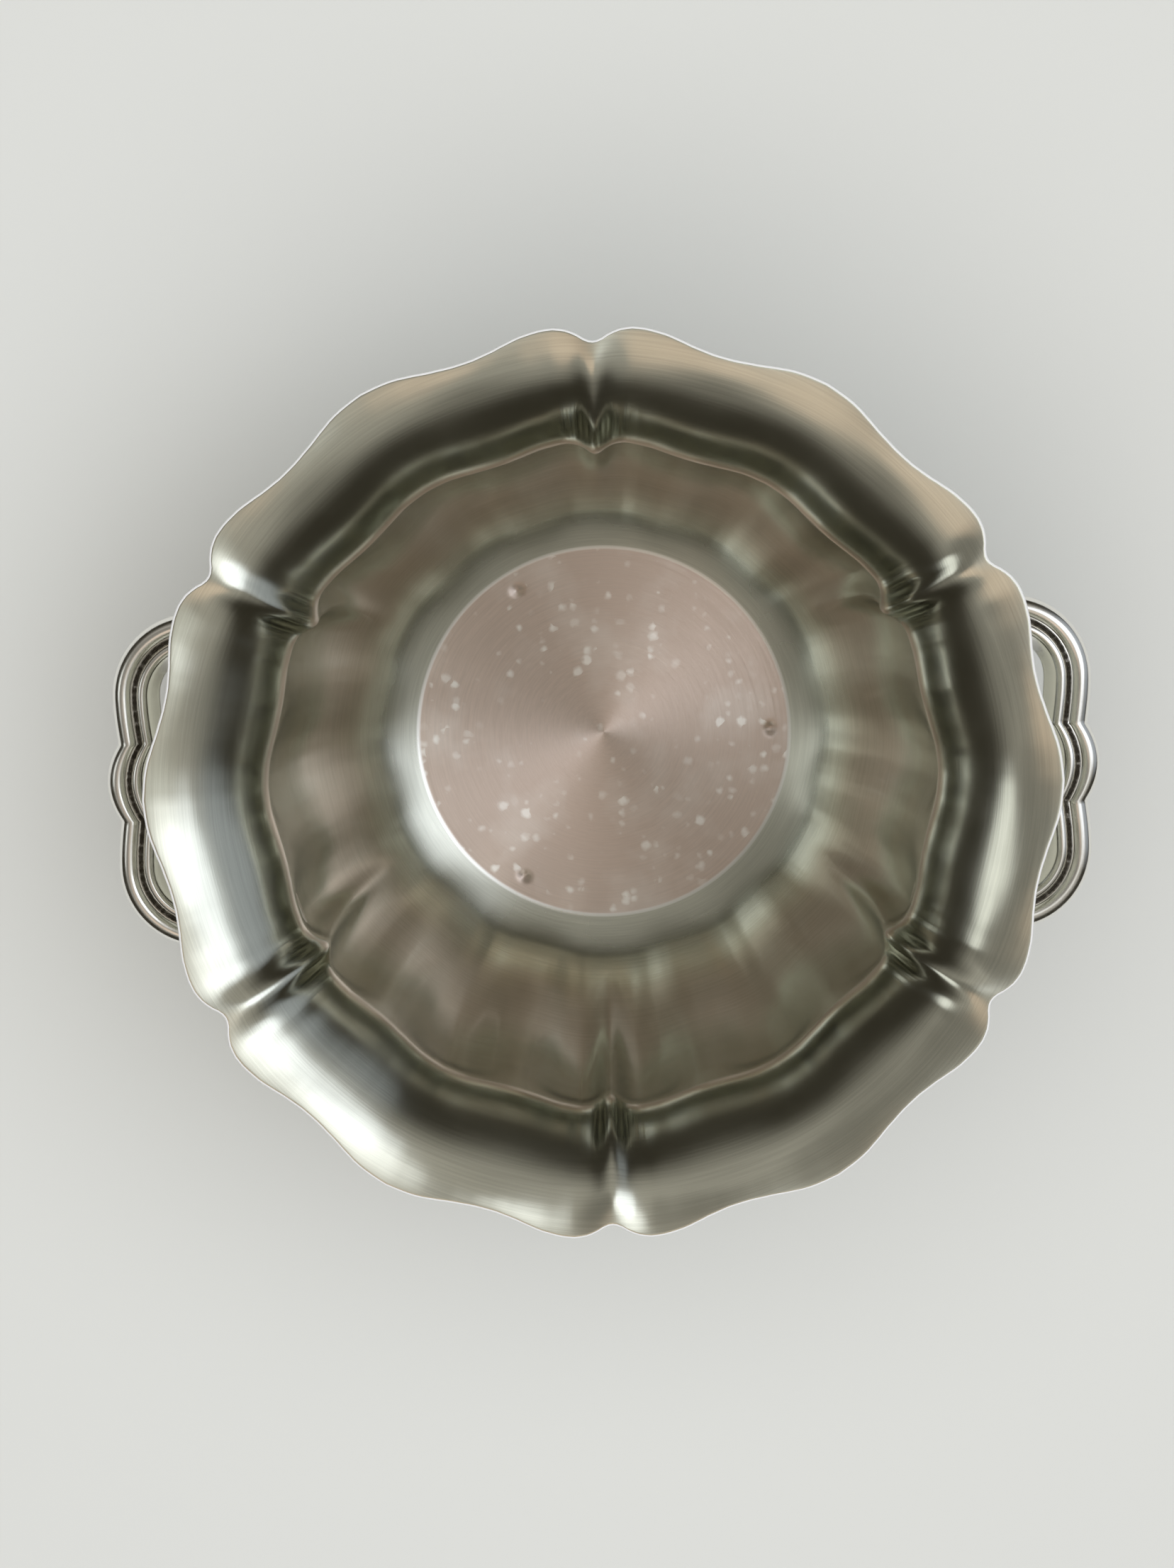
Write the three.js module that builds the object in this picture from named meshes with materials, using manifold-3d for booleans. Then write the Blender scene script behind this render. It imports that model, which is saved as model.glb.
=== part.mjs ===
// Two-handled lather bowl in pressed stainless steel, with six lobes and a scalloped, flared rim.
// Millimetres, +Z up. The origin is on the table under the middle of the foot ring, and the two
// handles lie along +X and -X.
import * as THREE from 'three';
import { mergeVertices } from 'three/addons/utils/BufferGeometryUtils.js';
import Module from 'manifold-3d';

const wasm = await Module();
wasm.setup();

// Sheet, and the small gaps kept where the foot and the handles are welded on.
const sheet = 0.8;
const footWeldGap = 0.3;
const handleWeldGap = 0.55;

// Bowl: inside radii, and drops below the rim plane.
const bowlDepth = 62.5;
const rimRadius = 59;
const lipRadius = 53.2;
const lipDrop = 1.5;
const flareRadius = 47;
const flareDrop = 6.2;
const neckRadius = 44.1;
const neckDrop = 12;
const bellyRadius = 44.6;
const bellyDrop = 21;
const baseRadius = 33;
const baseRise = 3.2;
const floorRadius = 27.2;
const floorStep = 0.3;

// Lobes: six ribs point inward, and each lobe between them dips twice.
const lobeCount = 6;
const ribHalfAngle = 5.2;
const dipAngle = 16.8;
const rimWave = 0.95;
const rimNotch = 1.9;
const neckWave = 0.45;
const neckRib = 1.5;
const bellyWave = 1.05;
const bellyRib = 2.2;
const baseWave = 0.25;

// Foot ring, spot-welded under the floor at three points.
const footHeight = 5.5;
const footRadius = 33;
const footSeatWidth = 2.4;
const footWaistRadius = 28.4;
const weldCircleRadius = 24.5;
const weldCount = 3;
const weldFlangeWidth = 6;
const dimpleRadius = 1.25;
const dimpleDepth = 0.35;

// Handles: flat loops with three lobes on the front edge and one groove along the top.
const handleOverhang = 6.85;
const handleHalfWidth = 22.75;
const handleRootHalfWidth = 20.7;
const handleDrop = 17;
const handleThickness = 4.2;
const handleBand = 6.1;
const handleCornerRadius = 11.2;
const handleGrooveInset = 3;
const handleGrooveDepth = 0.95;
const frontLobeHalfWidth = 5.25;
const frontLobeRise = 1.15;
const frontNotch = 0.55;

// Heights that follow from the sizes above.
const floorUnderside = footHeight + footWeldGap;
const floorZ = floorUnderside + sheet;
const rimZ = floorZ + bowlDepth;

const degrees = THREE.MathUtils.degToRad;
const lobeAngle = 360 / lobeCount;
const halfLobe = lobeAngle / 2;

// Angle from the nearest rib, in degrees. Ribs stand half a lobe to each side of the handles.
function angleFromRib(angle) {
  const turn = THREE.MathUtils.euclideanModulo(THREE.MathUtils.radToDeg(angle) - halfLobe, lobeAngle);
  return Math.min(turn, lobeAngle - turn);
}

// Lobe wave from -1 in a dip to 1 beside a rib and in the middle of a lobe.
function waveAt(fromRib) {
  if (fromRib < ribHalfAngle) {
    return 1;
  }
  if (fromRib < dipAngle) {
    return Math.cos(Math.PI * (fromRib - ribHalfAngle) / (dipAngle - ribHalfAngle));
  }
  return -Math.cos(Math.PI * (fromRib - dipAngle) / (halfLobe - dipAngle));
}

// Rib shape from 1 on its sharp crest to 0 where the lobe begins.
function ribAt(fromRib) {
  if (fromRib >= ribHalfAngle) {
    return 0;
  }
  return 1 - Math.sin(Math.PI / 2 * fromRib / ribHalfAngle);
}

// Stations along the inside profile, from the flat of the floor to the rim edge. Each has its radius,
// height, slope in degrees, how far the lobe wave and the ribs move the sheet there, and the number of
// rows of faces from it to the next.
const flatRadius = floorRadius - 0.5;
const profileStations = [
  { r: flatRadius, z: floorZ, slope: 0, wave: 0, rib: 0, rows: 1 },
  { r: floorRadius, z: floorZ, slope: 10, wave: 0, rib: 0, rows: 1 },
  { r: floorRadius + floorStep, z: floorZ + floorStep, slope: 12, wave: 0, rib: 0, rows: 3 },
  { r: baseRadius, z: floorZ + baseRise, slope: 44, wave: baseWave, rib: 0, rows: 4 },
  { r: bellyRadius, z: rimZ - bellyDrop, slope: 90, wave: bellyWave, rib: bellyRib, rows: 4 },
  { r: neckRadius, z: rimZ - neckDrop, slope: 90, wave: neckWave, rib: neckRib, rows: 2 },
  { r: flareRadius, z: rimZ - flareDrop, slope: 50, wave: neckWave, rib: neckRib, rows: 2 },
  { r: lipRadius, z: rimZ - lipDrop, slope: 24, wave: rimWave / 2, rib: rimNotch / 2, rows: 2 },
  { r: rimRadius, z: rimZ, slope: 5, wave: rimWave, rib: rimNotch },
];
const bellyStation = 4;

// One smooth stretch of profile that leaves and arrives at its stations' slopes.
function profileStretch(from, to) {
  const reach = Math.hypot(to.r - from.r, to.z - from.z) / 3;
  const start = new THREE.Vector2(from.r, from.z);
  const end = new THREE.Vector2(to.r, to.z);
  const leave = new THREE.Vector2(Math.cos(degrees(from.slope)), Math.sin(degrees(from.slope)));
  const arrive = new THREE.Vector2(Math.cos(degrees(to.slope)), Math.sin(degrees(to.slope)));
  return new THREE.CubicBezierCurve(
    start,
    start.clone().addScaledVector(leave, reach),
    end.clone().addScaledVector(arrive, -reach),
    end,
  );
}

const stretches = profileStations.slice(1).map((to, index) => profileStretch(profileStations[index], to));

// Point on the inside of the bowl. place counts stations along the profile, with fractions between them.
function insidePoint(place, angle) {
  const index = Math.min(Math.floor(place), stretches.length - 1);
  const along = place - index;
  const blend = THREE.MathUtils.smoothstep(along, 0, 1);
  const wave = THREE.MathUtils.lerp(profileStations[index].wave, profileStations[index + 1].wave, blend);
  const rib = THREE.MathUtils.lerp(profileStations[index].rib, profileStations[index + 1].rib, blend);
  const fromRib = angleFromRib(angle);
  const on = stretches[index].getPoint(along);
  const radius = on.x + wave * waveAt(fromRib) - rib * ribAt(fromRib);
  return new THREE.Vector3(radius * Math.cos(angle), radius * Math.sin(angle), on.y);
}

// Point on the outside of the bowl: one sheet thickness from the inside, square to the surface.
function outsidePoint(place, angle) {
  const last = stretches.length;
  const placeStep = 0.02;
  const angleStep = degrees(0.2);
  const up = insidePoint(Math.min(place + placeStep, last), angle);
  up.sub(insidePoint(Math.max(place - placeStep, 0), angle));
  const around = insidePoint(place, angle + angleStep).sub(insidePoint(place, angle - angleStep));
  const outward = around.cross(up).normalize();
  return insidePoint(place, angle).addScaledVector(outward, sheet);
}

// Closed solid through a row of rings, each ring a loop of as many points, with a fan at each end.
function loftSolid(rings, firstCentre, lastCentre) {
  const around = rings[0].length;
  const positions = [];
  const indices = [];
  for (const ring of rings) {
    for (const point of ring) {
      positions.push(point.x, point.y, point.z);
    }
  }
  positions.push(firstCentre.x, firstCentre.y, firstCentre.z);
  positions.push(lastCentre.x, lastCentre.y, lastCentre.z);
  const firstIndex = rings.length * around;
  for (let row = 0; row < rings.length - 1; row += 1) {
    for (let k = 0; k < around; k += 1) {
      const a = row * around + k;
      const b = row * around + (k + 1) % around;
      indices.push(a, b, b + around, a, b + around, a + around);
    }
  }
  const lastRow = (rings.length - 1) * around;
  for (let k = 0; k < around; k += 1) {
    const next = (k + 1) % around;
    indices.push(next, k, firstIndex);
    indices.push(lastRow + k, lastRow + next, firstIndex + 1);
  }
  const geometry = new THREE.BufferGeometry();
  geometry.setAttribute('position', new THREE.Float32BufferAttribute(positions, 3));
  geometry.setIndex(indices);
  return geometry;
}

function toSolid(geometry) {
  const bare = geometry.clone();
  bare.deleteAttribute('normal');
  bare.deleteAttribute('uv');
  const merged = mergeVertices(bare);
  return new wasm.Manifold(new wasm.Mesh({
    numProp: 3,
    vertProperties: new Float32Array(merged.attributes.position.array),
    triVerts: new Uint32Array(merged.index.array),
  }));
}

function toGeometry(solid) {
  const mesh = solid.getMesh();
  const geometry = new THREE.BufferGeometry();
  geometry.setAttribute('position', new THREE.BufferAttribute(mesh.vertProperties, 3));
  geometry.setIndex(new THREE.BufferAttribute(mesh.triVerts, 1));
  geometry.computeVertexNormals();
  return geometry;
}

// Angles round the bowl, closer together beside the ribs, where the sheet turns fastest.
function bowlAngles() {
  const perHalfLobe = 8;
  const crowding = 1.4;
  const angles = [];
  for (let lobe = 0; lobe < lobeCount; lobe += 1) {
    const rib = halfLobe + lobe * lobeAngle;
    for (let k = 0; k < perHalfLobe; k += 1) {
      angles.push(degrees(rib + halfLobe * (k / perHalfLobe) ** crowding));
    }
    for (let k = perHalfLobe; k > 0; k -= 1) {
      angles.push(degrees(rib + lobeAngle - halfLobe * (k / perHalfLobe) ** crowding));
    }
  }
  return angles;
}

function bowlGeometry() {
  const angles = bowlAngles();
  const places = [];
  profileStations.forEach((station, index) => {
    const rows = index === stretches.length ? 1 : station.rows;
    for (let row = 0; row < rows; row += 1) {
      places.push(index + row / rows);
    }
  });
  const inside = places.map((place) => angles.map((angle) => insidePoint(place, angle)));
  const outside = places.map((place) => angles.map((angle) => outsidePoint(place, angle)));
  const rings = [...outside, ...inside.reverse()];
  const bowl = loftSolid(
    rings,
    new THREE.Vector3(0, 0, floorUnderside),
    new THREE.Vector3(0, 0, floorZ),
  );
  return toGeometry(cutWeldDimples(toSolid(bowl)));
}

// Shallow round dimple over each spot weld, pressed in from inside.
function cutWeldDimples(bowl) {
  const ballRadius = (dimpleRadius ** 2 + dimpleDepth ** 2) / (2 * dimpleDepth);
  const aboveFloor = ballRadius - dimpleDepth;
  let cut = bowl;
  for (let k = 0; k < weldCount; k += 1) {
    const angle = k * 2 * Math.PI / weldCount;
    const ball = new THREE.SphereGeometry(ballRadius, 24, 24);
    ball.rotateX(Math.PI / 2);
    ball.translate(
      weldCircleRadius * Math.cos(angle),
      weldCircleRadius * Math.sin(angle),
      floorZ + aboveFloor,
    );
    cut = cut.subtract(toSolid(ball));
  }
  return cut;
}

// Pressed ring: a flange under the floor, a waist, and a flat seat turned outward on the table.
function footGeometry() {
  const flangeInner = weldCircleRadius - weldFlangeWidth / 2;
  const flangeOuter = weldCircleRadius + weldFlangeWidth / 2;
  const seatInner = footRadius - footSeatWidth;
  const bend = 1;
  const upperInside = footHeight - sheet;
  const outline = new THREE.Path();
  outline.moveTo(flangeInner, footHeight);
  outline.lineTo(flangeInner, upperInside);
  outline.lineTo(flangeOuter - sheet - bend / 2, upperInside);
  outline.quadraticCurveTo(flangeOuter - sheet, upperInside, footWaistRadius - sheet, upperInside - bend);
  outline.quadraticCurveTo(footWaistRadius, 0, seatInner, 0);
  outline.lineTo(footRadius, 0);
  outline.lineTo(footRadius, sheet);
  outline.lineTo(seatInner, sheet);
  outline.quadraticCurveTo(footWaistRadius + sheet, sheet, footWaistRadius, footHeight - sheet - bend / 2);
  outline.quadraticCurveTo(flangeOuter, footHeight, flangeOuter - bend, footHeight);
  outline.closePath();
  const curveSteps = 4;
  const segments = 60;
  const ring = new THREE.LatheGeometry(outline.getPoints(curveSteps), segments);
  ring.rotateX(Math.PI / 2);
  return ring;
}

// Outside radius of the bowl wall at a height between its base and its neck.
function wallRadius(angle, z) {
  let low = z < profileStations[bellyStation].z ? bellyStation - 1 : bellyStation;
  let high = low + 1;
  for (let pass = 0; pass < 24; pass += 1) {
    const middle = (low + high) / 2;
    if (outsidePoint(middle, angle).z < z) {
      low = middle;
    } else {
      high = middle;
    }
  }
  const point = outsidePoint(low, angle);
  return Math.hypot(point.x, point.y);
}

// Where a level line along X at this y and z stops, a weld gap short of the bowl wall.
function stopAtWall(y, z) {
  let angle = Math.asin(y / bellyRadius);
  let radius = bellyRadius;
  for (let pass = 0; pass < 8; pass += 1) {
    radius = wallRadius(angle, z) + handleWeldGap;
    angle = Math.asin(y / radius);
  }
  return radius * Math.cos(angle);
}

// Front edge of the handle against y: a raised middle lobe, a sharp notch each side, then the side lobes.
function frontEdge(y) {
  const across = Math.abs(y);
  if (across < frontLobeHalfWidth) {
    return frontLobeRise - (frontLobeRise + frontNotch) * (across / frontLobeHalfWidth) ** 2;
  }
  const sideLobe = handleHalfWidth - handleCornerRadius - frontLobeHalfWidth;
  const along = Math.min((across - frontLobeHalfWidth) / sideLobe, 1);
  return frontNotch * (Math.sin(Math.PI / 2 * along) - 1);
}

// Handle section: how far in from the outer edge, and how far below the top.
function handleSection() {
  const crest = handleGrooveInset / 2;
  const shoulder = 0.3;
  const bead = handleGrooveInset + 1.1;
  return [
    { inset: 0.6, drop: handleThickness },
    { inset: handleBand * 0.4, drop: handleThickness },
    { inset: handleBand * 0.7, drop: handleThickness },
    { inset: handleBand, drop: handleThickness },
    { inset: handleBand, drop: handleThickness - 0.6 },
    { inset: bead + 0.8, drop: 2 * shoulder },
    { inset: bead, drop: shoulder / 2 },
    { inset: handleGrooveInset + 0.6, drop: shoulder },
    { inset: handleGrooveInset, drop: handleGrooveDepth },
    { inset: handleGrooveInset - 0.6, drop: shoulder },
    { inset: crest, drop: 0 },
    { inset: 0.6, drop: shoulder },
    { inset: 0, drop: 1.2 },
    { inset: 0, drop: handleThickness - 0.8 },
  ];
}

// Line of one section point along half of the handle, from the middle of the front to the wall.
function handleHalfLine(inset, z) {
  const frontX = rimRadius + handleOverhang;
  const cornerX = frontX - handleCornerRadius;
  const cornerY = handleHalfWidth - handleCornerRadius;
  const lobeSteps = 4;
  const sideSteps = 4;
  const cornerSteps = 5;
  const armSteps = 3;
  const line = [];
  for (let k = 0; k < lobeSteps; k += 1) {
    const y = frontLobeHalfWidth * k / lobeSteps;
    line.push(new THREE.Vector3(frontX - inset + frontEdge(y), y, z));
  }
  for (let k = 0; k < sideSteps; k += 1) {
    const y = frontLobeHalfWidth + (cornerY - frontLobeHalfWidth) * k / sideSteps;
    line.push(new THREE.Vector3(frontX - inset + frontEdge(y), y, z));
  }
  const turn = handleCornerRadius - inset;
  for (let k = 0; k < cornerSteps; k += 1) {
    const angle = Math.PI / 2 * k / cornerSteps;
    line.push(new THREE.Vector3(cornerX + turn * Math.cos(angle), cornerY + turn * Math.sin(angle), z));
  }
  const armY = handleHalfWidth - inset;
  const rootY = handleRootHalfWidth - inset;
  const rootX = stopAtWall(rootY, z);
  for (let k = 0; k <= armSteps; k += 1) {
    const along = k / armSteps;
    const y = THREE.MathUtils.lerp(armY, rootY, along * along);
    line.push(new THREE.Vector3(THREE.MathUtils.lerp(cornerX, rootX, along), y, z));
  }
  return line;
}

function handleGeometry() {
  const topZ = rimZ - handleDrop;
  const lines = handleSection().map((point) => {
    const half = handleHalfLine(point.inset, topZ - point.drop);
    const other = half.slice(1).reverse().map((at) => new THREE.Vector3(at.x, -at.y, at.z));
    return [...other, ...half];
  });
  const rings = lines[0].map((_, station) => lines.map((line) => line[station]));
  const middleZ = topZ - handleThickness / 2;
  const middleY = handleRootHalfWidth - handleBand / 2;
  const middleX = stopAtWall(middleY, middleZ);
  const geometry = loftSolid(
    rings,
    new THREE.Vector3(middleX, -middleY, middleZ),
    new THREE.Vector3(middleX, middleY, middleZ),
  );
  geometry.computeVertexNormals();
  return geometry;
}

const satinSteel = new THREE.MeshStandardMaterial({ color: 0x9a958c, roughness: 0.3, metalness: 1 });
const polishedSteel = new THREE.MeshStandardMaterial({ color: 0xa3a19b, roughness: 0.2, metalness: 1 });
const plainSteel = new THREE.MeshStandardMaterial({ color: 0x96938c, roughness: 0.4, metalness: 1 });

function piece(name, geometry, material) {
  const mesh = new THREE.Mesh(geometry, material);
  mesh.name = name;
  return mesh;
}

const group = new THREE.Group();
group.add(piece('bowl_shell', bowlGeometry(), satinSteel));
group.add(piece('foot_ring', footGeometry(), plainSteel));

const handleShape = handleGeometry();
const rightHandle = piece('right_handle', handleShape, polishedSteel);
const leftHandle = piece('left_handle', handleShape, polishedSteel);
leftHandle.rotation.z = Math.PI;
group.add(rightHandle, leftHandle);

export default group;
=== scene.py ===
import math

import bmesh
import bpy
from mathutils import Matrix, Vector
from mathutils.bvhtree import BVHTree


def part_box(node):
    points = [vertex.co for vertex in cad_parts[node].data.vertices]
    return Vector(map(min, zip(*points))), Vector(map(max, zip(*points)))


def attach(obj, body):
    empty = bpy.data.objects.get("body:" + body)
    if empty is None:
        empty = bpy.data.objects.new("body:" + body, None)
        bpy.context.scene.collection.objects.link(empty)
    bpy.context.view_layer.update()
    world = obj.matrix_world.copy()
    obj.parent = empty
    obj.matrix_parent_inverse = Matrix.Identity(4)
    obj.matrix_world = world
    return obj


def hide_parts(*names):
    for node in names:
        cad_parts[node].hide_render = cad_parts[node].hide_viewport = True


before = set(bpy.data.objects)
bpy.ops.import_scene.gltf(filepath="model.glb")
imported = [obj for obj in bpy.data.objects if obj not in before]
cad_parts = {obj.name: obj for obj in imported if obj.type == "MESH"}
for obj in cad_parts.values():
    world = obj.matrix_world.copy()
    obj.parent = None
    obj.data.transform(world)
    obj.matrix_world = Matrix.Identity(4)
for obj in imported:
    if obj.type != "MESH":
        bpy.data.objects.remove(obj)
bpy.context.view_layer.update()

# Lather bowl in pressed stainless steel: six lobes, scalloped flared rim, foot ring, two loop handles.
# Sizes are in millimetres and mm turns them into metres. Heights start from the CAD frame.
mm = 0.001
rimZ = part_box("bowl_shell")[1].z / mm
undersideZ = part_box("bowl_shell")[0].z / mm
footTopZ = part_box("foot_ring")[1].z / mm
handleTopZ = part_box("right_handle")[1].z / mm
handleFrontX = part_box("right_handle")[1].x / mm
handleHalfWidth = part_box("right_handle")[1].y / mm


def hexColor(code):  # sRGB hex to the linear values a shader takes
    channels = [int(code[i:i + 2], 16) / 255 for i in (1, 3, 5)]
    linear = [c / 12.92 if c <= 0.04045 else ((c + 0.055) / 1.055) ** 2.4 for c in channels]
    return (*linear, 1.0)


def addNode(tree, kind, inputs=None, **settings):  # a node with its settings, values and links
    node = tree.nodes.new(kind)
    for name, value in settings.items():
        setattr(node, name, value)
    for key, value in (inputs or {}).items():
        if isinstance(value, bpy.types.NodeSocket):
            tree.links.new(value, node.inputs[key])
        else:
            node.inputs[key].default_value = value
    return node


def bendCurve(node, points):  # sets the line of a Float Curve node
    line = node.mapping.curves[0]
    while len(line.points) > 2:
        line.points.remove(line.points[-1])
    for index, (x, y) in enumerate(points):
        if index < 2:
            line.points[index].location = (x, y)
        else:
            line.points.new(x, y)
    for point in line.points:
        point.handle_type = "AUTO_CLAMPED"
    node.mapping.update()


def addPiece(name, mesh):
    piece = bpy.data.objects.new(name, mesh)
    bpy.context.scene.collection.objects.link(piece)
    return piece


def settleModifiers(piece):  # the evaluated result becomes the piece's own plain mesh
    graph = bpy.context.evaluated_depsgraph_get()
    mesh = bpy.data.meshes.new_from_object(piece.evaluated_get(graph), depsgraph=graph)
    piece.modifiers.clear()
    piece.data = mesh
    return mesh


# the bowl: one pressed sheet
bowl = {
    "sheet": 0.8,
    "floorRadius": 27.1, "stepWidth": 0.5, "stepRise": 0.15,
    "baseRadius": 33, "baseRise": 3.2, "baseSlope": 44,
    "bellyRadius": 44.6, "bellyDrop": 21,
    "neckRadius": 44.1, "neckDrop": 12,
    "flareRadius": 47, "flareDrop": 6.2, "flareSlope": 50,
    "lipRadius": 53.2, "lipDrop": 1.5, "lipSlope": 24,
    "rimRadius": 59, "rimSlope": 5,
    "lobes": 6, "ribHalfAngle": 5.2, "dipAngle": 16.8,
    "columnsPerHalfLobe": 34, "crowding": 1.15,
    "weldCircle": 24.5, "weldCount": 3, "dimpleRadius": 1.25, "dimpleDepth": 0.35,
    "edgeRound": 0.26,
    "edgeLine": 27.3, "edgeLineHalf": 0.4,  # painted highlight: a near-white line round the edge of the floor
    "softFrom": 29, "softTo": 38,  # the low wall is duller between these radii
}
floorZ = undersideZ + bowl["sheet"]


def profileStations():
    b = bowl
    flat = b["weldCircle"] - 2
    # radius, height, slope, lobe wave, rib, scoops beside the rib, notch of the rim, rows to the next
    return [
        (0.0, floorZ, 0, 0, 0, 0, 0, 5),
        (flat, floorZ, 0, 0, 0, 0, 0, 14),
        (b["floorRadius"] - 0.5, floorZ, 0, 0, 0, 0, 0, 2),
        (b["floorRadius"], floorZ, 14, 0, 0, 0, 0, 3),
        (b["floorRadius"] + b["stepWidth"], floorZ + b["stepRise"], 21, 0, 0, 0, 0, 13),
        (b["baseRadius"], floorZ + b["baseRise"], b["baseSlope"], 0.25, 0, 0, 0, 24),
        (b["bellyRadius"], rimZ - b["bellyDrop"], 90, 1.05, 2.2, 0.15, 0, 9),
        (b["neckRadius"], rimZ - b["neckDrop"], 90, 0.45, 1.5, 0.12, 0, 10),
        (b["flareRadius"], rimZ - b["flareDrop"], b["flareSlope"], 0.35, 1.5, 0.3, 0, 14),
        (b["lipRadius"], rimZ - b["lipDrop"], b["lipSlope"], 0.2, 0.6, 0.1, 0.5, 12),
        (b["rimRadius"], rimZ, b["rimSlope"], 0.95, 0, 0, 1.9, 1),
    ]


def buildProfile():  # one line of points from the middle of the floor to the rim, with what moves each
    stations = profileStations()
    points, waves, ribs, scoops = [], [], [], []
    for near, far in zip(stations, stations[1:]):
        start, end = Vector((near[0], 0, near[1])), Vector((far[0], 0, far[1]))
        reach = (end - start).length / 3
        leave = Vector((math.cos(math.radians(near[2])), 0, math.sin(math.radians(near[2]))))
        arrive = Vector((math.cos(math.radians(far[2])), 0, math.sin(math.radians(far[2]))))
        first, second = start + leave * reach, end - arrive * reach
        rows = near[7] + (1 if far is stations[-1] else 0)
        for row in range(rows):
            t = row / near[7]
            u = 1 - t
            at = start * u ** 3 + first * 3 * u * u * t + second * 3 * u * t * t + end * t ** 3
            along = (first - start) * u * u + (second - first) * 2 * u * t + (end - second) * t * t
            inward = Vector((-along.z, 0, along.x)).normalized()
            ease = t * t * (3 - 2 * t)
            wave, rib, scoop, notch = [near[i] + (far[i] - near[i]) * ease for i in (3, 4, 5, 6)]
            points.append(at * mm)
            waves.append(Vector((wave, 0, 0)) * mm)
            ribs.append((inward * rib - Vector((notch, 0, 0))) * mm)
            scoops.append(inward * -scoop * mm)
    mesh = bpy.data.meshes.new("bowlProfile")
    mesh.from_pydata(points, [(i, i + 1) for i in range(len(points) - 1)], [])
    for name, moves in (("waveMove", waves), ("ribMove", ribs), ("scoopMove", scoops)):
        layer = mesh.attributes.new(name, "FLOAT_VECTOR", "POINT")
        layer.data.foreach_set("vector", [value for move in moves for value in move])
    return mesh


def waveLine():  # 1 beside a rib and in the middle of a lobe, 0 in the dip between
    rib, dip, half = bowl["ribHalfAngle"], bowl["dipAngle"], 180 / bowl["lobes"]
    points = [(0, 1)]
    for step in range(5):
        points.append(((rib + (dip - rib) * step / 4) / half, 0.5 + 0.5 * math.cos(math.pi * step / 4)))
    for step in range(1, 5):
        points.append(((dip + (half - dip) * step / 4) / half, 0.5 - 0.5 * math.cos(math.pi * step / 4)))
    return points


def ribLine():  # 1 on the crest, 0 where the lobe begins
    rib, half = bowl["ribHalfAngle"], 180 / bowl["lobes"]
    points = [(0, 1)]
    for part, height in ((0.1, 0.96), (0.28, 0.68), (0.52, 0.32), (0.78, 0.08), (1, 0)):
        points.append((part * rib / half, height))
    return points + [(1, 0)]


def scoopLine():  # a soft trough on the flank of the rib
    rib, half = bowl["ribHalfAngle"], 180 / bowl["lobes"]
    return [(0, 0), (0.35 * rib / half, 0.5), (0.7 * rib / half, 1), (1.5 * rib / half, 0), (1, 0)]


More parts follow.
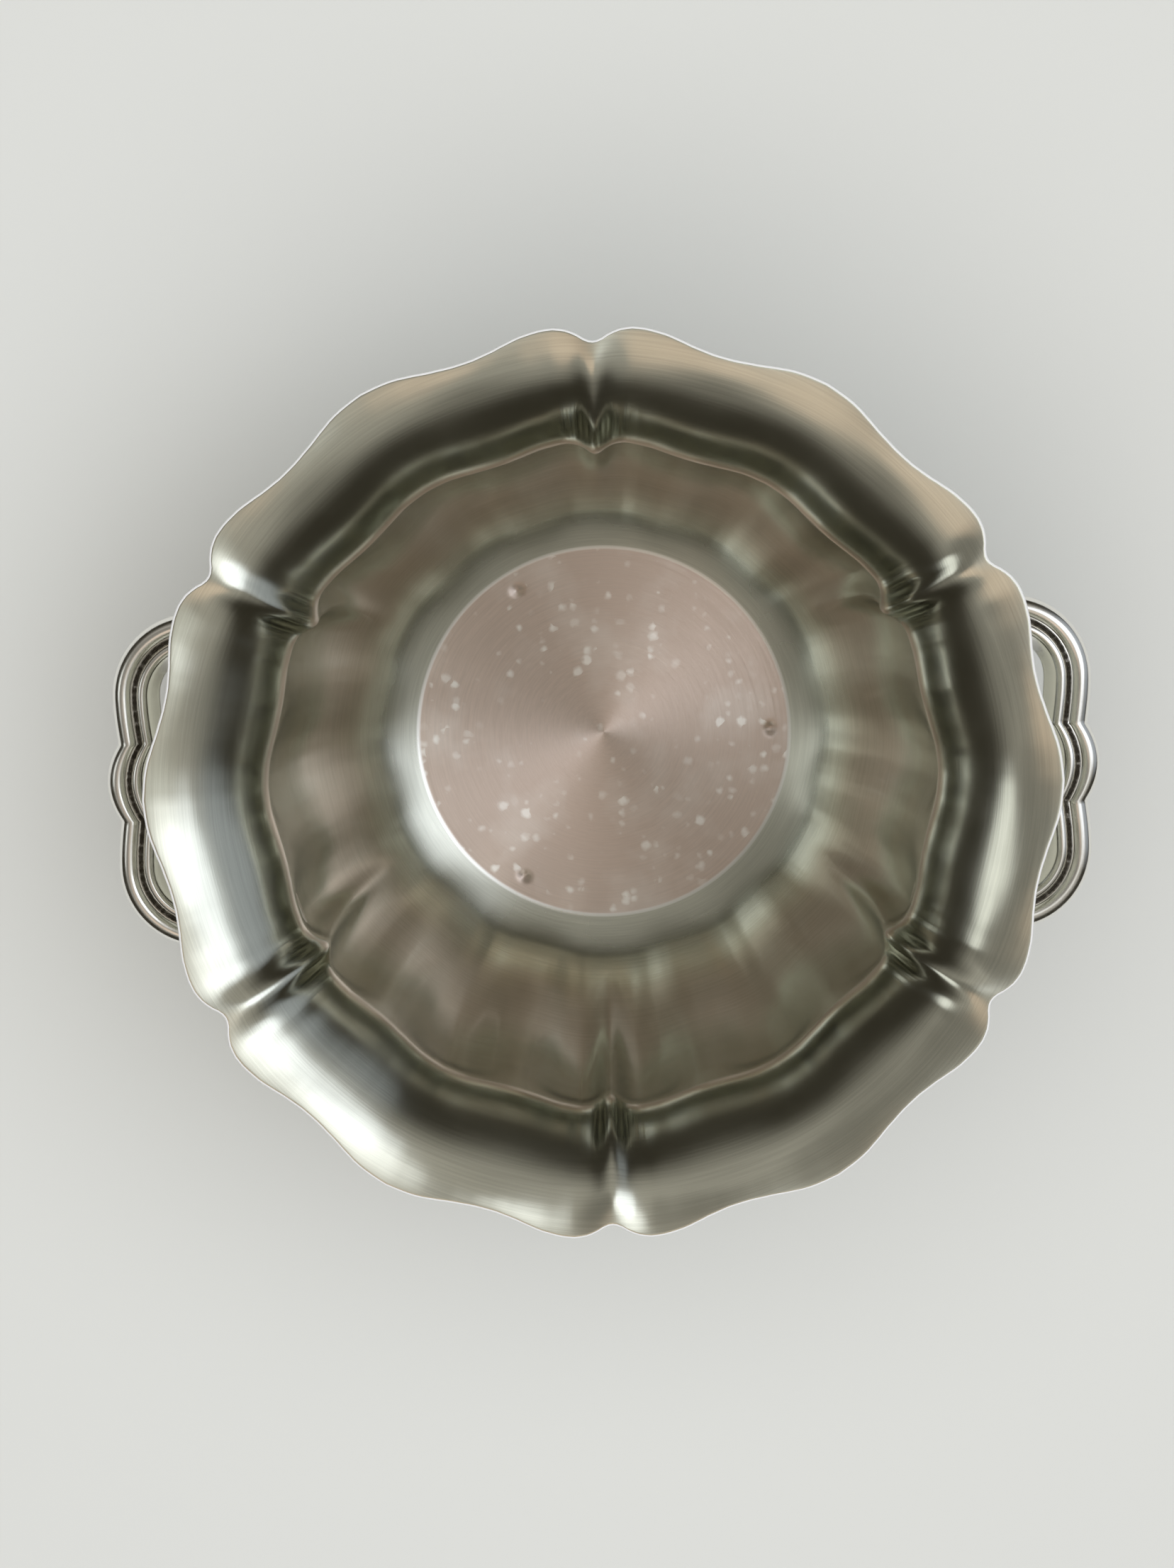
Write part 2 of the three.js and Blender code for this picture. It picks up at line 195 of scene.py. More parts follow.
def lobedBowlTree():
    tree = bpy.data.node_groups.new("lobedBowl", "GeometryNodeTree")
    face = tree.interface
    face.new_socket(name="Profile", in_out="INPUT", socket_type="NodeSocketGeometry")
    face.new_socket(name="Lobes", in_out="INPUT", socket_type="NodeSocketInt")
    face.new_socket(name="Columns per half lobe", in_out="INPUT", socket_type="NodeSocketInt")
    face.new_socket(name="Crowding", in_out="INPUT", socket_type="NodeSocketFloat")
    face.new_socket(name="Weld circle", in_out="INPUT", socket_type="NodeSocketFloat")
    face.new_socket(name="Weld count", in_out="INPUT", socket_type="NodeSocketInt")
    face.new_socket(name="Weld height", in_out="INPUT", socket_type="NodeSocketFloat")
    face.new_socket(name="Dimple radius", in_out="INPUT", socket_type="NodeSocketFloat")
    face.new_socket(name="Dimple depth", in_out="INPUT", socket_type="NodeSocketFloat")
    face.new_socket(name="Steel", in_out="INPUT", socket_type="NodeSocketMaterial")
    face.new_socket(name="Bowl", in_out="OUTPUT", socket_type="NodeSocketGeometry")
    given = addNode(tree, "NodeGroupInput").outputs

    # a flat grid: one row of points for each profile point, one column for each direction
    rows = addNode(tree, "GeometryNodeAttributeDomainSize", {0: given["Profile"]},
                   component="MESH").outputs[0]
    halves = addNode(tree, "ShaderNodeMath", {0: given["Lobes"], 1: 2.0}, operation="MULTIPLY").outputs[0]
    columns = addNode(tree, "ShaderNodeMath", {0: halves, 1: given["Columns per half lobe"], 2: 1.0},
                      operation="MULTIPLY_ADD").outputs[0]
    grid = addNode(tree, "GeometryNodeMeshGrid", {"Vertices X": rows, "Vertices Y": columns}).outputs["Mesh"]
    index = addNode(tree, "GeometryNodeInputIndex").outputs[0]
    share = addNode(tree, "ShaderNodeMath", {0: index, 1: columns}, operation="DIVIDE").outputs[0]
    row = addNode(tree, "ShaderNodeMath", {0: share}, operation="FLOOR").outputs[0]
    column = addNode(tree, "ShaderNodeMath", {0: index, 1: columns}, operation="MODULO").outputs[0]

    # direction of a column, crowded towards the ribs
    turn = addNode(tree, "ShaderNodeMath", {0: column, 1: given["Columns per half lobe"]},
                   operation="DIVIDE").outputs[0]
    half = addNode(tree, "ShaderNodeMath", {0: turn}, operation="FLOOR").outputs[0]
    part = addNode(tree, "ShaderNodeMath", {0: turn}, operation="FRACT").outputs[0]
    odd = addNode(tree, "ShaderNodeMath", {0: half, 1: 2.0}, operation="MODULO").outputs[0]
    gap = addNode(tree, "ShaderNodeMath", {0: odd, 1: part}, operation="SUBTRACT").outputs[0]
    away = addNode(tree, "ShaderNodeMath", {0: gap}, operation="ABSOLUTE").outputs[0]
    fromRib = addNode(tree, "ShaderNodeMath", {0: away, 1: given["Crowding"]}, operation="POWER").outputs[0]
    sign = addNode(tree, "ShaderNodeMath", {0: odd, 1: -2.0, 2: 1.0}, operation="MULTIPLY_ADD").outputs[0]
    raised = addNode(tree, "ShaderNodeMath", {0: half, 1: odd}, operation="ADD").outputs[0]
    steps = addNode(tree, "ShaderNodeMath", {0: fromRib, 1: sign, 2: raised},
                    operation="MULTIPLY_ADD").outputs[0]
    shifted = addNode(tree, "ShaderNodeMath", {0: steps, 1: 1.0}, operation="ADD").outputs[0]
    halfLobe = addNode(tree, "ShaderNodeMath", {0: math.tau, 1: halves}, operation="DIVIDE").outputs[0]
    angle = addNode(tree, "ShaderNodeMath", {0: shifted, 1: halfLobe}, operation="MULTIPLY").outputs[0]

    # the profile point of the row, moved by the lobe wave, the rib and its scoops
    place = addNode(tree, "GeometryNodeInputPosition").outputs[0]
    point = addNode(tree, "GeometryNodeSampleIndex", {"Geometry": given["Profile"], "Value": place,
                                                      "Index": row},
                    data_type="FLOAT_VECTOR").outputs[0]
    for name, line in (("waveMove", waveLine()), ("ribMove", ribLine()), ("scoopMove", scoopLine())):
        stored = addNode(tree, "GeometryNodeInputNamedAttribute", {"Name": name},
                         data_type="FLOAT_VECTOR").outputs[0]
        move = addNode(tree, "GeometryNodeSampleIndex", {"Geometry": given["Profile"], "Value": stored,
                                                         "Index": row},
                       data_type="FLOAT_VECTOR").outputs[0]
        shape = addNode(tree, "ShaderNodeFloatCurve", {"Value": fromRib})
        bendCurve(shape, line)
        amount = shape.outputs[0]
        if name == "waveMove":
            amount = addNode(tree, "ShaderNodeMath", {0: amount, 1: 2.0, 2: -1.0},
                             operation="MULTIPLY_ADD").outputs[0]
        scaled = addNode(tree, "ShaderNodeVectorMath", {0: move, "Scale": amount},
                         operation="SCALE").outputs[0]
        point = addNode(tree, "ShaderNodeVectorMath", {0: point, 1: scaled}, operation="ADD").outputs[0]
    turned = addNode(tree, "ShaderNodeVectorRotate", {"Vector": point, "Angle": angle},
                     rotation_type="Z_AXIS").outputs[0]
    shaped = addNode(tree, "GeometryNodeSetPosition", {"Geometry": grid, "Position": turned}).outputs[0]
    closed = addNode(tree, "GeometryNodeMergeByDistance", {"Geometry": shaped,
                                                           "Distance": 0.002 * mm}).outputs[0]

    # spot-weld dimples, pressed down where the floor comes near a weld
    welds = addNode(tree, "GeometryNodeMeshCircle", {"Vertices": given["Weld count"],
                                                     "Radius": given["Weld circle"]})
    height = addNode(tree, "ShaderNodeCombineXYZ", {"Z": given["Weld height"]}).outputs[0]
    lifted = addNode(tree, "GeometryNodeSetPosition", {"Geometry": welds.outputs[0],
                                                       "Offset": height}).outputs[0]
    near = addNode(tree, "GeometryNodeProximity", {"Target": lifted},
                   target_element="POINTS").outputs["Distance"]
    bite = addNode(tree, "ShaderNodeMapRange", {"Value": near, "From Max": given["Dimple radius"],
                                                "To Min": given["Dimple depth"], "To Max": 0.0},
                   interpolation_type="SMOOTHSTEP").outputs[0]
    below = addNode(tree, "ShaderNodeMath", {0: bite, 1: -1.0}, operation="MULTIPLY").outputs[0]
    down = addNode(tree, "ShaderNodeCombineXYZ", {"Z": below}).outputs[0]
    pressed = addNode(tree, "GeometryNodeSetPosition", {"Geometry": closed, "Offset": down}).outputs[0]

    smooth = addNode(tree, "GeometryNodeSetShadeSmooth", {"Geometry": pressed}).outputs[0]
    real = addNode(tree, "GeometryNodeRealizeInstances", {"Geometry": smooth}).outputs[0]
    coated = addNode(tree, "GeometryNodeSetMaterial", {"Geometry": real,
                                                       "Material": given["Steel"]}).outputs[0]
    addNode(tree, "NodeGroupOutput", {0: coated})
    return tree


def makeBowl(steel):
    piece = addPiece("bowlShell", buildProfile())
    tree = lobedBowlTree()
    inputs = {
        "Lobes": bowl["lobes"],
        "Columns per half lobe": bowl["columnsPerHalfLobe"],
        "Crowding": bowl["crowding"],
        "Weld circle": bowl["weldCircle"] * mm,
        "Weld count": bowl["weldCount"],
        "Weld height": floorZ * mm,
        "Dimple radius": bowl["dimpleRadius"] * mm,
        "Dimple depth": bowl["dimpleDepth"] * mm,
        "Steel": steel,
    }
    press = piece.modifiers.new("lobedBowl", "NODES")
    press.node_group = tree
    sockets = {item.name: item.identifier for item in tree.interface.items_tree}
    for name, value in inputs.items():
        press[sockets[name]] = value
    wall = piece.modifiers.new("sheet", "SOLIDIFY")
    wall.thickness = bowl["sheet"] * mm
    wall.offset = -1
    mesh = settleModifiers(piece)
    roundRim(mesh)
    return piece


def roundRim(mesh):  # the cut edge of the sheet is rounded over
    work = bmesh.new()
    work.from_mesh(mesh)
    bmesh.ops.remove_doubles(work, verts=work.verts, dist=0.002 * mm)
    rimEdges = []
    for edge in work.edges:
        high = min(v.co.z for v in edge.verts) > (rimZ - 2.5) * mm
        far = min(v.co.xy.length for v in edge.verts) > (bowl["rimRadius"] - 3) * mm
        if high and far and len(edge.link_faces) == 2 and edge.calc_face_angle() > math.radians(60):
            rimEdges.append(edge)
    bmesh.ops.bevel(work, geom=rimEdges, offset=bowl["edgeRound"] * mm, segments=3, profile=0.5,
                    affect="EDGES")
    for item in work.faces:
        item.smooth = True
    work.to_mesh(mesh)
    work.free()


# the handles: flat grooved loops, welded on under the rim
handle = {
    "cornerRadius": 11.2, "rootHalfWidth": 20.7, "band": 6.1, "thickness": 4.2,
    "frontLobeHalfWidth": 5.25, "frontLobeRise": 1.15, "frontNotch": 0.55,
    "weldFlare": 0.7, "grooveInset": 3.0, "grooveHalfWidth": 0.42,
    # across the band: how far in from the outer edge, and how far below the top
    "section": [
        (0.45, 4.2), (2.2, 4.2), (4.1, 4.2), (5.75, 4.2), (6.1, 3.85), (5.8, 3.0), (5.4, 2.0),
        (5.05, 1.2), (4.75, 0.7), (4.4, 0.42), (4.0, 0.32), (3.6, 0.42), (3.33, 0.68), (3.15, 0.98),
                (3.0, 1.12),
        (2.85, 0.98), (2.66, 0.62), (2.35, 0.3), (1.95, 0.08), (1.45, 0.0), (0.95, 0.1), (0.45, 0.42),
        (0.14, 0.95), (0.0, 1.7), (0.0, 3.2), (0.1, 3.85),
    ],
    "sectionSteps": 4, "lobeSteps": 16, "sideSteps": 14, "cornerSteps": 18, "armSteps": 8, "weldSteps": 5,
}


def roundSection():  # the section's points joined by a closed Catmull-Rom line
    corners = [Vector(point) for point in handle["section"]]
    count, steps = len(corners), handle["sectionSteps"]
    line = []
    for i in range(count):
        p0, p1, p2, p3 = (corners[(i + k) % count] for k in (-1, 0, 1, 2))
        for step in range(steps):
            t = step / steps
            line.append(0.5 * (2 * p1 + (p2 - p0) * t + (2 * p0 - 5 * p1 + 4 * p2 - p3) * t ** 2
                               + (3 * p1 - p0 - 3 * p2 + p3) * t ** 3))
    return [(max(point.x, 0), min(max(point.y, 0), handle["thickness"])) for point in line]


def frontEdge(y):  # middle lobe, a sharp notch each side, then the side lobes
    reach, rise, notch = handle["frontLobeHalfWidth"], handle["frontLobeRise"], handle["frontNotch"]
    if y < reach:
        return rise - (rise + notch) * (y / reach) ** 2
    side = handleHalfWidth - handle["cornerRadius"] - reach
    return notch * (math.sin(math.pi / 2 * min((y - reach) / side, 1)) - 1)


def handleHalfLine(inset, drop, wallAt):  # one section point's way from the front middle to the bowl wall
    h = handle
    frontX = handleFrontX - h["frontLobeRise"]
    cornerX, cornerY = frontX - h["cornerRadius"], handleHalfWidth - h["cornerRadius"]
    z = handleTopZ - drop
    reach = h["frontLobeHalfWidth"]
    line = []
    for step in range(h["lobeSteps"]):
        y = reach * step / h["lobeSteps"]
        line.append(Vector((frontX - inset + frontEdge(y), y, z)))
    for step in range(h["sideSteps"]):
        y = reach + (cornerY - reach) * step / h["sideSteps"]
        line.append(Vector((frontX - inset + frontEdge(y), y, z)))
    turn = h["cornerRadius"] - inset
    for step in range(h["cornerSteps"]):
        angle = math.pi / 2 * step / h["cornerSteps"]
        line.append(Vector((cornerX + turn * math.cos(angle), cornerY + turn * math.sin(angle), z)))
    armY, rootY = handleHalfWidth - inset, h["rootHalfWidth"] - inset
    rootX = wallAt(rootY, z) + h["weldFlare"]
    for step in range(h["armSteps"] + 1):
        along = step / h["armSteps"]
        line.append(Vector((cornerX + (rootX - cornerX) * along, armY + (rootY - armY) * along ** 2, z)))
    # weld: the root flares out like a fillet and goes a little into the wall
    middle = Vector((h["rootHalfWidth"] - h["band"] / 2, handleTopZ - h["thickness"] / 2))
    out = (Vector((rootY, z)) - middle).normalized()
    for step in range(1, h["weldSteps"] + 1):
        angle = math.pi / 2 * step / h["weldSteps"]
        y, height = Vector((rootY, z)) + out * h["weldFlare"] * (1 - math.cos(angle))
        x = wallAt(y, height) + h["weldFlare"] * (1 - math.sin(angle)) - 0.25 * step / h["weldSteps"]
        line.append(Vector((x, y, height)))
    return line


def makeHandle(name, half, steel, wallAt):
    lines = []
    groovePolishAndShade = []
    for inset, drop in roundSection():
        # the groove's dark colour is part dried polish and part painted shade
        fromGroove = abs(inset - handle["grooveInset"]) / handle["grooveHalfWidth"]
        groovePolishAndShade.append(max(0, 1 - fromGroove) if drop < handle["thickness"] / 2 else 0)
        side = handleHalfLine(inset, drop, wallAt)
        lines.append([Vector((p.x, -p.y, p.z)) for p in reversed(side[1:])] + side)
    turn = Matrix.Rotation(half * math.pi, 4, "Z")
    around, stations = len(lines), len(lines[0])
    points = [turn @ lines[k][s] * mm for s in range(stations) for k in range(around)]
    faces = []
    for s in range(stations - 1):
        for k in range(around):
            a, b = s * around + k, s * around + (k + 1) % around
            faces.append((a, b, b + around, a + around))
    faces.append(tuple(reversed(range(around))))
    faces.append(tuple(range((stations - 1) * around, stations * around)))
    mesh = bpy.data.meshes.new(name)
    mesh.from_pydata(points, [], faces)
    work = bmesh.new()
    work.from_mesh(mesh)
    bmesh.ops.recalc_face_normals(work, faces=work.faces)
    for item in work.faces:
        item.smooth = len(item.verts) == 4
    work.to_mesh(mesh)
    work.free()
    layer = mesh.attributes.new("groove", "FLOAT", "POINT")
    layer.data.foreach_set("value", groovePolishAndShade * stations)
    mesh.materials.append(steel)
    return addPiece(name, mesh)


# the foot: a pressed ring welded under the floor
foot = {
    "seatRadius": 33, "seatWidth": 2.4, "waist": 28.4, "flangeInner": 21.5, "flangeOuter": 27.5,
    "bend": 1.0, "curveSteps": 10, "around": 240,
}


def curveTo(line, control, end, steps):  # a quadratic bend from the line's last point
    start, control, end = line[-1], Vector(control), Vector(end)
    for step in range(1, steps + 1):
        t = step / steps
        line.append(start * (1 - t) ** 2 + control * 2 * t * (1 - t) + end * t ** 2)


def makeFoot(steel):
    f, sheet = foot, bowl["sheet"]
    top, under = footTopZ, footTopZ - sheet
    seatInner, waist, steps = f["seatRadius"] - f["seatWidth"], f["waist"], f["curveSteps"]
    line = [Vector((f["flangeInner"], top)), Vector((f["flangeInner"], under))]
    line.append(Vector((f["flangeOuter"] - sheet - f["bend"] / 2, under)))
    curveTo(line, (f["flangeOuter"] - sheet, under), (waist - sheet, under - f["bend"]), steps)
    curveTo(line, (waist, 0), (seatInner, 0), steps)
    line += [Vector((f["seatRadius"] - 0.1, 0)), Vector((f["seatRadius"], 0.1))]
    line += [Vector((f["seatRadius"], sheet - 0.25)), Vector((f["seatRadius"] - 0.25, sheet))]
    line.append(Vector((seatInner, sheet)))
    curveTo(line, (waist + sheet, sheet), (waist, top - sheet - f["bend"] / 2), steps)
    curveTo(line, (f["flangeOuter"], top), (f["flangeOuter"] - f["bend"], top), steps)
    mesh = bpy.data.meshes.new("footRing")
    mesh.from_pydata([(p.x * mm, 0, p.y * mm) for p in line],
                     [(i, (i + 1) % len(line)) for i in range(len(line))], [])
    work = bmesh.new()
    work.from_mesh(mesh)
    bmesh.ops.spin(work, geom=work.verts[:] + work.edges[:], cent=(0, 0, 0), axis=(0, 0, 1),
                   angle=math.tau, steps=f["around"])
    bmesh.ops.remove_doubles(work, verts=work.verts, dist=0.002 * mm)
    bmesh.ops.recalc_face_normals(work, faces=work.faces)
    for item in work.faces:
        item.smooth = True
    work.to_mesh(mesh)
    work.free()
    mesh.materials.append(steel)
    return addPiece("footRing", mesh)


def startMaterial(name):
    material = bpy.data.materials.new(name)
    material.use_nodes = True
    tree = material.node_tree
    tree.nodes.clear()
    return material, tree


def satinStainless():  # satin-polished stainless sheet, turned on the floor: soft, ring-wise brushed gloss
    material, tree = startMaterial("satinPolishedStainless")
    coords = addNode(tree, "ShaderNodeTexCoord").outputs["Object"]
    axes = addNode(tree, "ShaderNodeSeparateXYZ", {0: coords}).outputs
    flat = addNode(tree, "ShaderNodeCombineXYZ", {"X": axes["X"], "Y": axes["Y"]}).outputs[0]
    radius = addNode(tree, "ShaderNodeVectorMath", {0: flat}, operation="LENGTH").outputs["Value"]
    onFloor = addNode(tree, "ShaderNodeMapRange", {"Value": radius,
                                                   "From Min": (bowl["floorRadius"] + 0.3) * mm,
                                                   "From Max": bowl["floorRadius"] * mm},
                      interpolation_type="SMOOTHSTEP").outputs[0]

    # polishing lines run round the bowl, about 0.3 mm apart; real ones are finer and would not show
    outward = addNode(tree, "ShaderNodeVectorMath", {0: flat}, operation="NORMALIZE").outputs[0]
    slow = addNode(tree, "ShaderNodeVectorMath", {0: outward, "Scale": 1.2 * mm},
                   operation="SCALE").outputs[0]
    reachUp = addNode(tree, "ShaderNodeMath", {0: radius, 1: axes["Z"]}, operation="ADD").outputs[0]
    ring = addNode(tree, "ShaderNodeCombineXYZ", {"Z": reachUp}).outputs[0]
    ringSpace = addNode(tree, "ShaderNodeVectorMath", {0: slow, 1: ring}, operation="ADD").outputs[0]
    brush = addNode(tree, "ShaderNodeTexNoise", {"Vector": ringSpace, "Scale": 3000.0, "Detail": 3.0,
                                                 "Roughness": 0.6}).outputs["Fac"]
    smear = addNode(tree, "ShaderNodeTexNoise", {"Vector": coords, "Scale": 60.0,
                                                 "Detail": 4.0}).outputs["Fac"]

    # pale spots left by dried water on the floor: small and uneven, over a faint clouding
    warp = addNode(tree, "ShaderNodeTexNoise", {"Vector": coords, "Scale": 900.0,
                                                "Detail": 1.0}).outputs["Color"]
    shaken = addNode(tree, "ShaderNodeVectorMath", {0: warp, 1: (0.8 * mm,) * 3, 2: coords},
                     operation="MULTIPLY_ADD").outputs[0]
    cells = addNode(tree, "ShaderNodeTexVoronoi", {"Vector": shaken, "Scale": 620.0}, feature="F1").outputs
    size = addNode(tree, "ShaderNodeSeparateColor", {0: cells["Color"]}).outputs
    drift = addNode(tree, "ShaderNodeTexNoise", {"Vector": coords, "Scale": 110.0,
                                                 "Detail": 3.0}).outputs["Fac"]
    reach = addNode(tree, "ShaderNodeMath", {0: size[0], 1: drift}, operation="MULTIPLY").outputs[0]
    edge = addNode(tree, "ShaderNodeMapRange", {"Value": reach, "From Min": 0.17, "From Max": 0.52,
                                                "To Min": 0.0, "To Max": 0.6}).outputs[0]
    inside = addNode(tree, "ShaderNodeMath", {0: edge, 1: cells["Distance"]},
                     operation="SUBTRACT").outputs[0]
    spot = addNode(tree, "ShaderNodeMapRange", {"Value": inside, "From Max": 0.3}).outputs[0]
    cloud = addNode(tree, "ShaderNodeMapRange", {"Value": drift, "From Min": 0.5, "From Max": 0.8,
                                                 "To Max": 0.35}).outputs[0]
    pale = addNode(tree, "ShaderNodeMath", {0: spot, 1: size[1], 2: cloud},
                   operation="MULTIPLY_ADD").outputs[0]
    spots = addNode(tree, "ShaderNodeMath", {0: pale, 1: onFloor}, operation="MULTIPLY").outputs[0]

    rough = addNode(tree, "ShaderNodeMapRange", {"Value": smear, "From Min": 0.3, "From Max": 0.7,
                                                 "To Min": 0.13, "To Max": 0.21}).outputs[0]
    roughFloor = addNode(tree, "ShaderNodeMapRange", {"Value": brush, "From Min": 0.3, "From Max": 0.7,
                                                      "To Min": 0.34, "To Max": 0.44}).outputs[0]
    nearFloor = addNode(tree, "ShaderNodeMapRange", {"Value": radius, "From Min": bowl["softTo"] * mm,
                                                     "From Max": bowl["softFrom"] * mm,
                                                     "To Max": 0.12},
                        interpolation_type="SMOOTHSTEP").outputs[0]
    wallRough = addNode(tree, "ShaderNodeMath", {0: rough, 1: nearFloor}, operation="ADD").outputs[0]
    roughness = addNode(tree, "ShaderNodeMix", {"Factor": onFloor, 2: wallRough, 3: roughFloor}).outputs[0]
    worn = addNode(tree, "ShaderNodeMapRange", {"Value": brush, "From Min": 0.35, "From Max": 0.65,
                                                "To Min": 0.93, "To Max": 1.04}).outputs[0]
    steel = addNode(tree, "ShaderNodeMix", {"Factor": onFloor, 6: hexColor("#d7d7ca"),
                                            7: hexColor("#d8c7bb")},
                    data_type="RGBA").outputs[2]
    lined = addNode(tree, "ShaderNodeVectorMath", {0: steel, "Scale": worn}, operation="SCALE").outputs[0]
    spotted = addNode(tree, "ShaderNodeMix", {"Factor": spots, 6: lined, 7: hexColor("#fffaf4")},
                      data_type="RGBA").outputs[2]
    # painted highlight: a thin near-white ring at the floor's edge stands in for the light caught on the
    # step there
    fromEdge = addNode(tree, "ShaderNodeMath", {0: radius, 1: bowl["edgeLine"] * mm},
                       operation="SUBTRACT").outputs[0]
    offEdge = addNode(tree, "ShaderNodeMath", {0: fromEdge}, operation="ABSOLUTE").outputs[0]
    paintedEdgeHighlight = addNode(tree, "ShaderNodeMapRange", {"Value": offEdge, "From Min": bowl["edgeLineHalf"] * mm,
                                                     "From Max": 0.1 * mm,
                                                     "To Max": 0.75},
                        interpolation_type="SMOOTHSTEP").outputs[0]
    color = addNode(tree, "ShaderNodeMix", {"Factor": paintedEdgeHighlight, 6: spotted, 7: hexColor("#fffdf8")},
                    data_type="RGBA").outputs[2]
    strength = addNode(tree, "ShaderNodeMapRange", {"Value": onFloor, "To Min": 0.12,
                                                    "To Max": 0.25}).outputs[0]
    bump = addNode(tree, "ShaderNodeBump", {"Height": brush, "Strength": strength,
                                            "Distance": 0.03 * mm}).outputs[0]
    grain = addNode(tree, "ShaderNodeTangent", direction_type="RADIAL", axis="Z").outputs[0]
    shader = addNode(tree, "ShaderNodeBsdfPrincipled", {
        "Base Color": color, "Metallic": 1.0, "Roughness": roughness, "Normal": bump,
        "Anisotropic": 0.75, "Anisotropic Rotation": 0.25, "Tangent": grain,
    }).outputs[0]
    addNode(tree, "ShaderNodeOutputMaterial", {"Surface": shader})
    return material


def tumbledStainless():  # tumble-polished stainless: brighter, mottled, dark in the groove from dried polish and painted shade
    material, tree = startMaterial("tumblePolishedStainless")
    coords = addNode(tree, "ShaderNodeTexCoord").outputs["Object"]
    pits = addNode(tree, "ShaderNodeTexNoise", {"Vector": coords, "Scale": 1800.0,
                                                "Detail": 3.0}).outputs["Fac"]
    mottle = addNode(tree, "ShaderNodeTexNoise", {"Vector": coords, "Scale": 320.0,
                                                  "Detail": 3.0}).outputs["Fac"]
    groove = addNode(tree, "ShaderNodeAttribute", attribute_name="groove").outputs["Fac"]
    ragged = addNode(tree, "ShaderNodeMath", {0: groove, 1: pits}, operation="MULTIPLY").outputs[0]
    # painted shade and dried polish: a dark colour and a rougher finish in the groove
    paintedShadeAndPolish = addNode(tree, "ShaderNodeMapRange", {"Value": ragged, "From Min": 0.12, "From Max": 0.42},
                   interpolation_type="SMOOTHSTEP").outputs[0]
    color = addNode(tree, "ShaderNodeMix", {"Factor": paintedShadeAndPolish, 6: hexColor("#f0eee9"), 7: hexColor("#6a645a")},
                    data_type="RGBA").outputs[2]
    polish = addNode(tree, "ShaderNodeMapRange", {"Value": mottle, "From Min": 0.35, "From Max": 0.65,
                                                  "To Min": 0.14, "To Max": 0.24}).outputs[0]
    roughness = addNode(tree, "ShaderNodeMix", {"Factor": paintedShadeAndPolish, 2: polish, 3: 0.6}).outputs[0]
    bump = addNode(tree, "ShaderNodeBump", {"Height": pits, "Strength": 0.05,
                                            "Distance": 0.03 * mm}).outputs[0]
    soft = addNode(tree, "ShaderNodeBump", {"Height": mottle, "Strength": 0.12, "Distance": 0.06 * mm,
                                            "Normal": bump}).outputs[0]
    shader = addNode(tree, "ShaderNodeBsdfPrincipled", {
        "Base Color": color, "Metallic": 1.0, "Roughness": roughness, "Normal": soft,
    }).outputs[0]
    addNode(tree, "ShaderNodeOutputMaterial", {"Surface": shader})
    return material


def plainWall(name, code):  # matt emulsion paint: even and dull
    material, tree = startMaterial(name)
    shader = addNode(tree, "ShaderNodeBsdfPrincipled", {"Base Color": hexColor(code),
                                                        "Roughness": 0.9}).outputs[0]
    addNode(tree, "ShaderNodeOutputMaterial", {"Surface": shader})
    return material


studio = {
    "lens": 81.4, "distance": 460.5, "tilt": 7.83, "sideTilt": -0.38, "turn": 1.3, "aside": 2.05,
          "up": -0.88,
    "floorSize": 12.0, "floorColor": "#d9dad7",
    "room": "#35322a",
    # soft glows of the room: bearing, angle from straight up, reach, colour, strength
    "glows": [
        (10, 13, 13, "#eef3fb", 1.1),
        (14, 30, 20, "#e9f1ff", 1.5),
        (-20, 12, 14, "#eef3f4", 0.3),
        (14, 62, 34, "#dfe9f5", 0.45),
        (0, 0, 62, "#cfccc4", 0.6),
        (175, 20, 24, "#cfccc4", -0.3),
        (180, 46, 12, "#f1f5f4", 1.1),
        (-110, 22, 16, "#f0cdb0", 0.45),
    ],
    "fillPlace": (0.0, 0.0, 2.0), "fillSize": 3.0, "fillPower": 46.0, "fillColor": "#ffffff",
}


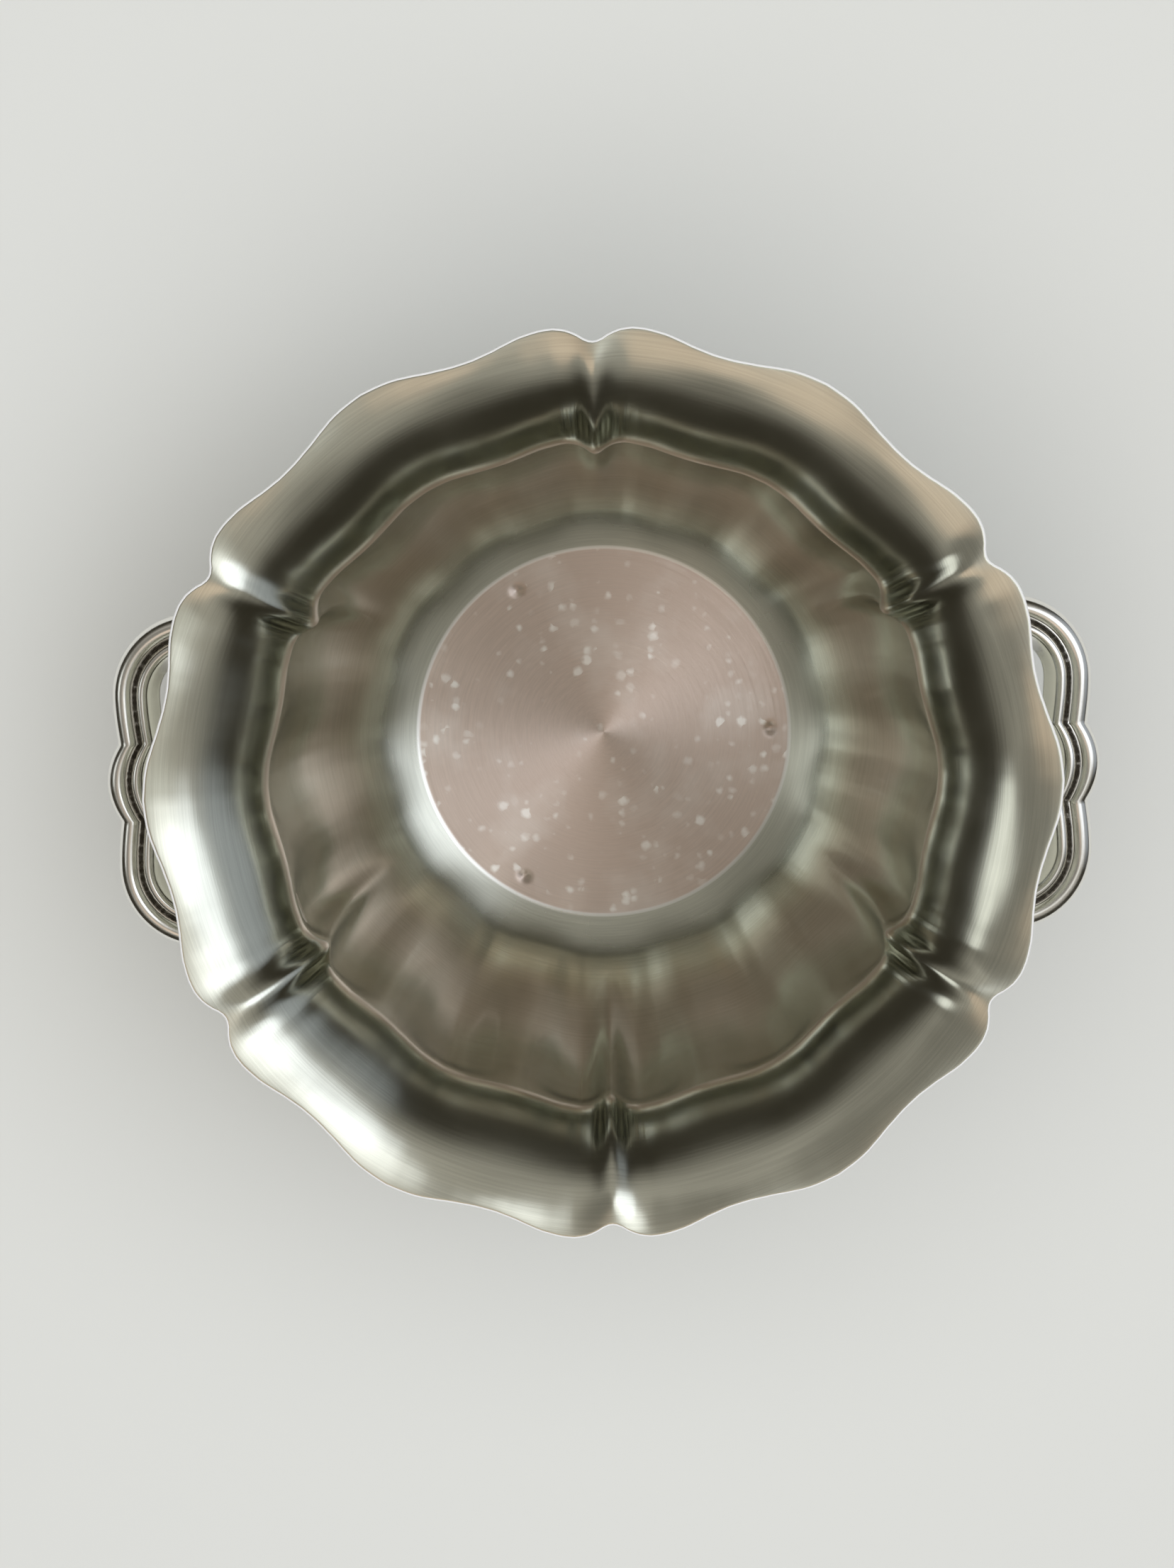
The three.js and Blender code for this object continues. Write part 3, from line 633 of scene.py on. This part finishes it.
def makeStudio():
    s = studio
    toCamera = (
        Matrix.Translation(Vector((s["aside"], s["up"], -s["distance"])) * mm)
        @ Matrix.Rotation(math.radians(s["sideTilt"]), 4, "Y")
        @ Matrix.Rotation(math.radians(s["tilt"]), 4, "X")
        @ Matrix.Rotation(math.radians(s["turn"]), 4, "Z")
        @ Matrix.Translation((0, 0, -rimZ * mm))
    )
    camera = bpy.data.objects.new("camera", bpy.data.cameras.new("camera"))
    camera.data.lens = s["lens"]
    camera.data.sensor_width = 36
    camera.data.clip_start = 0.01
    camera.matrix_world = toCamera.inverted()
    bpy.context.scene.collection.objects.link(camera)
    bpy.context.scene.camera = camera

    # a wide overhead sheet of light for the floor; the metal mirrors the room's glows instead
    lamp = bpy.data.lights.new("fill", "AREA")
    lamp.size = s["fillSize"]
    lamp.energy = s["fillPower"]
    lamp.color = hexColor(s["fillColor"])[:3]
    light = bpy.data.objects.new("fill", lamp)
    light.location = s["fillPlace"]
    light.visible_glossy = False
    bpy.context.scene.collection.objects.link(light)

    world = bpy.data.worlds.new("room")
    world.use_nodes = True
    tree = world.node_tree
    tree.nodes.clear()
    toward = addNode(tree, "ShaderNodeTexCoord").outputs["Generated"]
    total = addNode(tree, "ShaderNodeCombineXYZ", dict(zip("XYZ", hexColor(s["room"])))).outputs[0]
    for bearing, lean, reach, code, power in s["glows"]:
        turn, angle = math.radians(bearing), math.radians(lean)
        aim = (math.sin(angle) * math.cos(turn), math.sin(angle) * math.sin(turn), math.cos(angle))
        near = addNode(tree, "ShaderNodeVectorMath", {0: toward, 1: aim},
                       operation="DOT_PRODUCT").outputs["Value"]
        glow = addNode(tree, "ShaderNodeMapRange", {
            "Value": near, "From Min": math.cos(math.radians(reach)),
                                                    "From Max": math.cos(math.radians(reach * 0.35)),
            "To Max": power,
        }, interpolation_type="SMOOTHSTEP").outputs[0]
        tint = addNode(tree, "ShaderNodeVectorMath", {0: hexColor(code)[:3], "Scale": glow},
                       operation="SCALE").outputs[0]
        total = addNode(tree, "ShaderNodeVectorMath", {0: total, 1: tint}, operation="ADD").outputs[0]
    background = addNode(tree, "ShaderNodeBackground", {"Color": total})
    addNode(tree, "ShaderNodeOutputWorld", {"Surface": background.outputs[0]})
    bpy.context.scene.world = world

    half = s["floorSize"] / 2
    mesh = bpy.data.meshes.new("floor")
    corners = [(-half, -half, 0), (half, -half, 0), (half, half, 0), (-half, half, 0)]
    mesh.from_pydata([(x, y, -0.05 * mm) for x, y, _ in corners], [], [(0, 1, 2, 3)])
    mesh.materials.append(plainWall("matteFloor", s["floorColor"]))
    addPiece("floor", mesh)

    bpy.context.scene.view_settings.view_transform = "Standard"


makeStudio()
print("camera, lights and floor are set")

shellSteel = satinStainless()
handleSteel = tumbledStainless()

bowlShell = makeBowl(shellSteel)
print("bowl shell:", len(bowlShell.data.polygons), "faces")

wallTree = BVHTree.FromPolygons([v.co for v in bowlShell.data.vertices],
                                [p.vertices for p in bowlShell.data.polygons])


def outerWall(y, z):  # x of the outside of the bowl at this y and z, in millimetres
    hit = wallTree.ray_cast(Vector((handleFrontX, y, z)) * mm, Vector((-1, 0, 0)))
    return hit[0].x / mm


rightHandle = makeHandle("rightHandle", 0, handleSteel, outerWall)
leftHandle = makeHandle("leftHandle", 1, handleSteel, outerWall)
print("handles:", len(rightHandle.data.polygons), "faces each")

footRing = makeFoot(shellSteel)
print("foot ring:", len(footRing.data.polygons), "faces")

for piece, node, slotName in (
    (bowlShell, "bowl_shell", "satin_steel"),
    (footRing, "foot_ring", "foot_steel"),
    (rightHandle, "right_handle", "handle_steel"),
    (leftHandle, "left_handle", "handle_steel"),
):
    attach(piece, "root")
    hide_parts(node)
